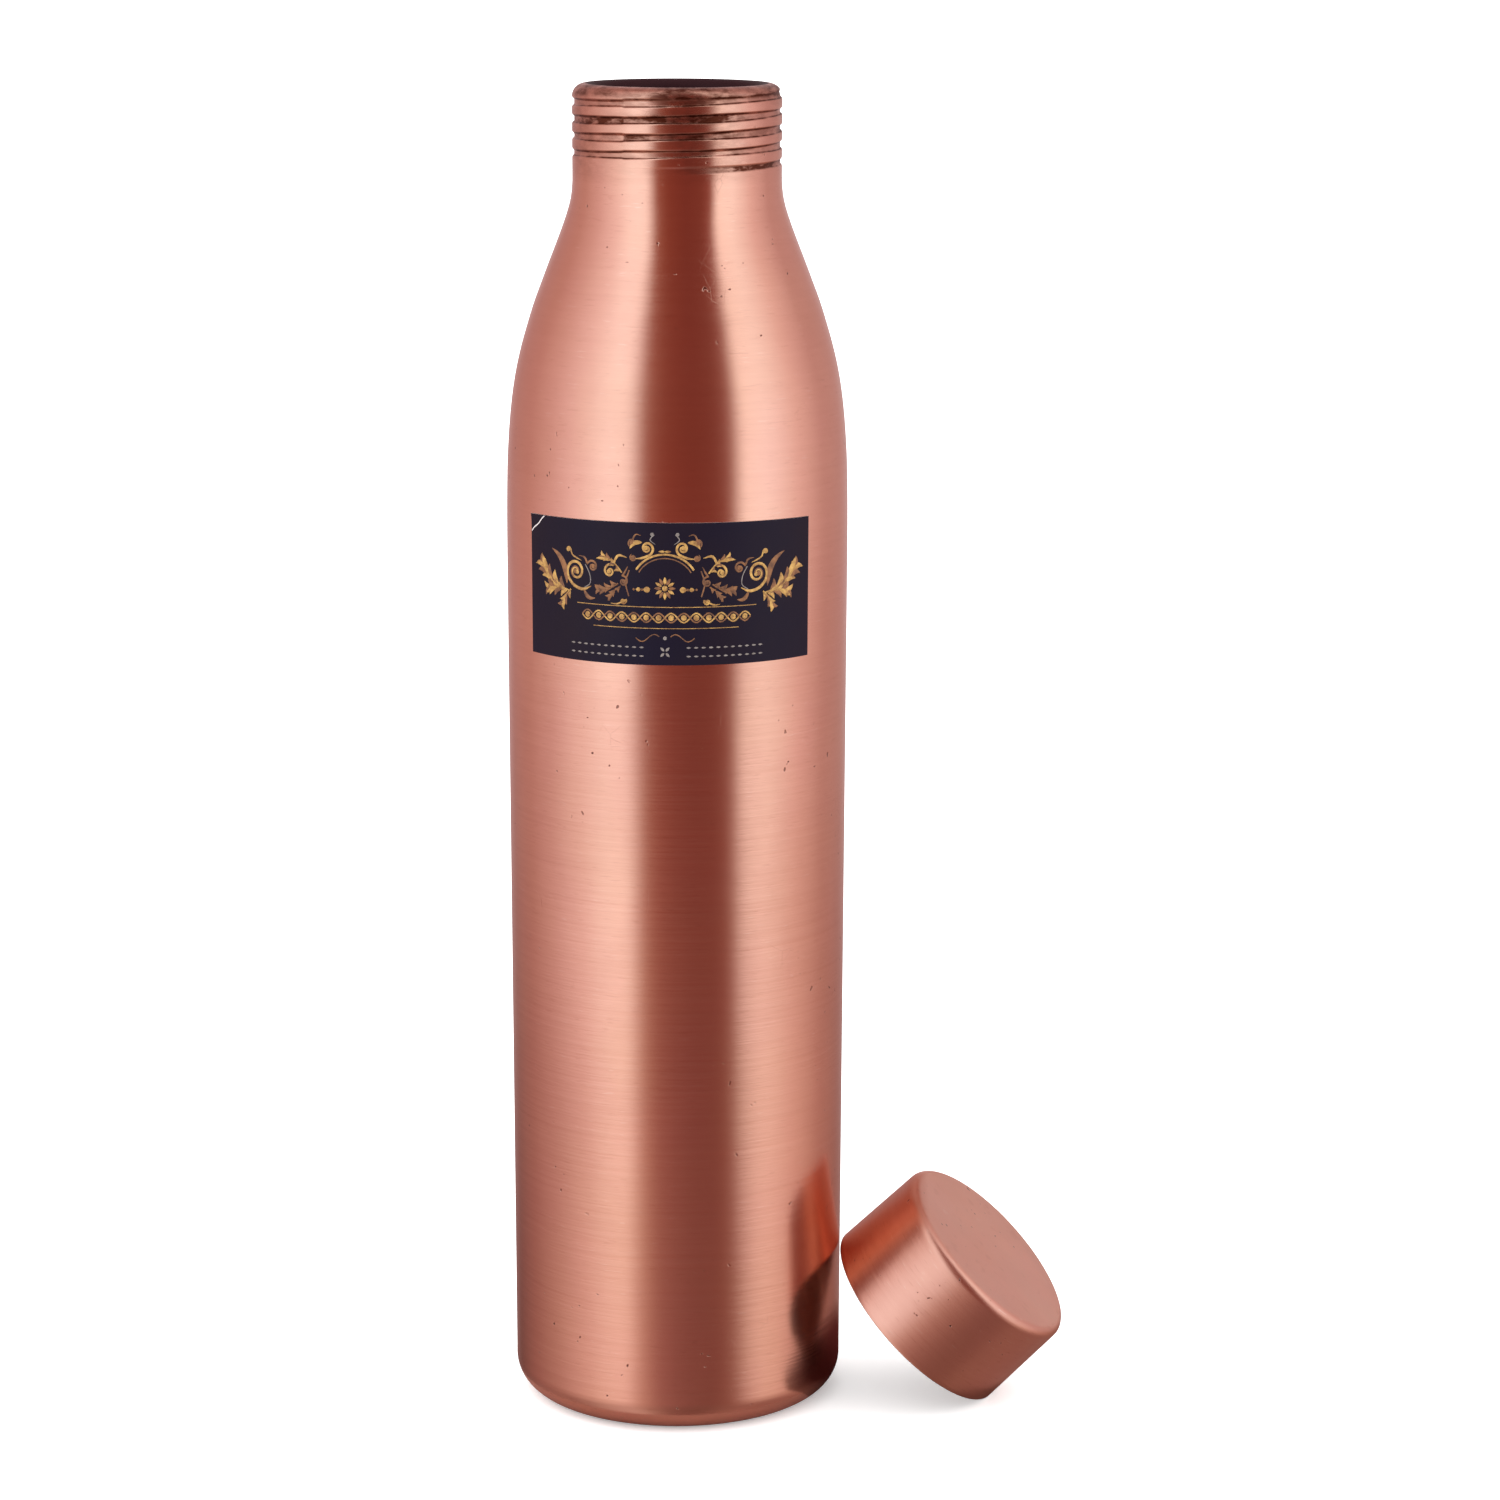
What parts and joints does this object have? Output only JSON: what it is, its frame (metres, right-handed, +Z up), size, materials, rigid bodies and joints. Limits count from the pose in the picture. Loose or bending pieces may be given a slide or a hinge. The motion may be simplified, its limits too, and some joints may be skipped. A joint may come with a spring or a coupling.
{
  "type": "copper water bottle",
  "caption": "Tall copper water bottle with sloping shoulders, rolled screw neck, wrapped label and a loose screw cap leaning against its side.",
  "frame": {"origin": "centre of the ring the bottle stands on, on the bottle's axis", "axes": "+Z up along the bottle's axis; -Y is the side with the label; the cap leans on the +X side"},
  "size_m": [0.1199, 0.0723, 0.283],
  "materials": {
    "brushed_copper": "fine circumferential brushing, light patina",
    "base_copper": "pressed, dull",
    "cap_copper": "brushed skirt, dusty matt top",
    "inner_copper": "drawn, unpolished",
    "label_vinyl": "dark printed vinyl with gold ornament",
    "seal_silicone": "matt silicone"
  },
  "bodies": {
    "bottle": {"bottle_shell": "brushed_copper", "base_disc": "base_copper", "label": "label_vinyl"},
    "seal": {"cap_gasket": "seal_silicone"},
    "cap": {"cap_shell": "cap_copper", "cap_sleeve": "inner_copper", "cap_liner": "inner_copper"}
  },
  "joints": [
    {"name": "cap_travel", "type": "slide", "parent": "bottle", "child": "seal", "axis": [0.6829, -0.1577, 0.7133], "range_m": [0, 0.01475]},
    {"name": "cap_turn", "type": "hinge", "parent": "seal", "child": "cap", "pos_m": [0.05247, -0.0041, 0.01644], "axis": [0.6829, -0.1577, 0.7133], "range_deg": [0, 1530]}
  ],
  "couplings": [
    {"joint": "cap_travel", "follows": "cap_turn", "m_per_rad": 0.00055227}
  ]
}
